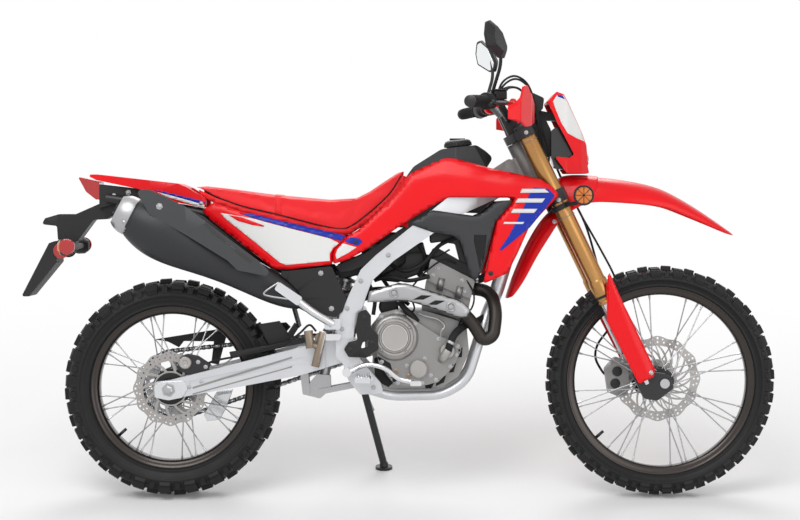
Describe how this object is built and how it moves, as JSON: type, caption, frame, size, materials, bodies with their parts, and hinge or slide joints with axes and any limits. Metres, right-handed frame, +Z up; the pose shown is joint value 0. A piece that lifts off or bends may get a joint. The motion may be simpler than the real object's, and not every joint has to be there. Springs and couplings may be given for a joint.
{
  "type": "dual sport motorcycle",
  "caption": "Tall single-seat-length off-road style motorcycle with knobby tyres, spoked wheels, long-travel fork and side stand.",
  "frame": {"origin": "centre of the whole machine's box on the floor, the machine leaning on its side stand", "axes": "+X forward towards the front wheel, +Y to the machine's left, +Z up"},
  "size_m": [2.2228, 0.8198, 1.4213],
  "materials": {
    "brake_pedal": "brushed",
    "chain": "brushed",
    "crankcase": "cast, satin",
    "cylinder": "cast, satin",
    "engine_covers": "cast, satin",
    "exhaust_header": "satin paint",
    "footpegs": "cast, satin",
    "fork_guards": "gloss",
    "fork_legs": "brushed",
    "fork_tubes": "anodised",
    "frame_guard": "grained",
    "front_axle": "brushed",
    "front_caliper": "cast, satin",
    "front_disc": "brushed",
    "front_hub": "cast, satin",
    "front_mudguard": "gloss",
    "front_rim": "satin paint",
    "front_signals": "clear",
    "front_tyre": "matte",
    "fuel_tank": "grained",
    "gear_lever": "brushed",
    "grips": "matte",
    "handguards": "gloss",
    "handlebar": "satin paint",
    "headlamp": "clear",
    "headlamp_cowl": "gloss",
    "heat_shields": "brushed",
    "inner_panels": "grained",
    "instrument_panel": "grained",
    "main_frame": "satin paint",
    "mirrors": "grained",
    "muffler": "satin paint",
    "pivot_bolt": "brushed",
    "radiator": "cast, satin",
    "rear_axle": "brushed",
    "rear_caliper": "cast, satin",
    "rear_disc": "brushed",
    "rear_hub": "cast, satin",
    "rear_mudguard": "grained",
    "rear_rim": "satin paint",
    "rear_shock": "brushed",
    "rear_signals": "clear",
    "rear_sprocket": "brushed",
    "rear_tyre": "matte",
    "seat": "matte grained",
    "shrouds": "gloss",
    "side_covers": "gloss",
    "side_stand": "satin paint",
    "subframe": "satin paint",
    "swingarm": "satin paint",
    "switchgear": "grained",
    "tail_bracket": "grained",
    "tail_cover": "gloss",
    "tail_lamp": "clear",
    "triple_clamps": "satin paint"
  },
  "bodies": {
    "frame": {"brake_pedal": "brake_pedal", "chain": "chain", "crankcase": "crankcase", "cylinder": "cylinder", "engine_covers": "engine_covers", "exhaust_header": "exhaust_header", "footpegs": "footpegs", "frame_guard": "frame_guard", "fuel_tank": "fuel_tank", "gear_lever": "gear_lever", "heat_shields": "heat_shields", "inner_panels": "inner_panels", "main_frame": "main_frame", "muffler": "muffler", "pivot_bolt": "pivot_bolt", "radiator": "radiator", "rear_axle": "rear_axle", "rear_caliper": "rear_caliper", "rear_mudguard": "rear_mudguard", "rear_shock": "rear_shock", "rear_signals": "rear_signals", "seat": "seat", "shrouds": "shrouds", "side_covers": "side_covers", "subframe": "subframe", "swingarm": "swingarm", "tail_bracket": "tail_bracket", "tail_cover": "tail_cover", "tail_lamp": "tail_lamp"},
    "fork": {"fork_guards": "fork_guards", "fork_legs": "fork_legs", "fork_tubes": "fork_tubes", "front_axle": "front_axle", "front_caliper": "front_caliper", "front_mudguard": "front_mudguard", "front_signals": "front_signals", "grips": "grips", "handguards": "handguards", "handlebar": "handlebar", "headlamp": "headlamp", "headlamp_cowl": "headlamp_cowl", "instrument_panel": "instrument_panel", "mirrors": "mirrors", "switchgear": "switchgear", "triple_clamps": "triple_clamps"},
    "front_wheel": {"front_disc": "front_disc", "front_hub": "front_hub", "front_rim": "front_rim", "front_tyre": "front_tyre"},
    "rear_wheel": {"rear_disc": "rear_disc", "rear_hub": "rear_hub", "rear_rim": "rear_rim", "rear_sprocket": "rear_sprocket", "rear_tyre": "rear_tyre"},
    "side_stand": {"side_stand": "side_stand"}
  },
  "joints": [
    {"name": "steering", "type": "hinge", "parent": "frame", "child": "fork", "pos_m": [0.34439, -0.01778, 1.03507], "axis": [-0.4352, 0.1563, 0.8866], "range_deg": [-40, 40]},
    {"name": "front_wheel_spin", "type": "hinge", "parent": "fork", "child": "front_wheel", "pos_m": [0.7704, -0.14057, 0.33874], "axis": [0, 0.9848, -0.1736], "continuous": true},
    {"name": "rear_wheel_spin", "type": "hinge", "parent": "frame", "child": "rear_wheel", "pos_m": [-0.6746, -0.14386, 0.32003], "axis": [0, 0.9848, -0.1736], "continuous": true},
    {"name": "side_stand_fold", "type": "hinge", "parent": "frame", "child": "side_stand", "pos_m": [-0.1186, -0.00333, 0.29931], "axis": [0.1149, 0.9601, 0.2549], "range_deg": [0, 104]}
  ]
}
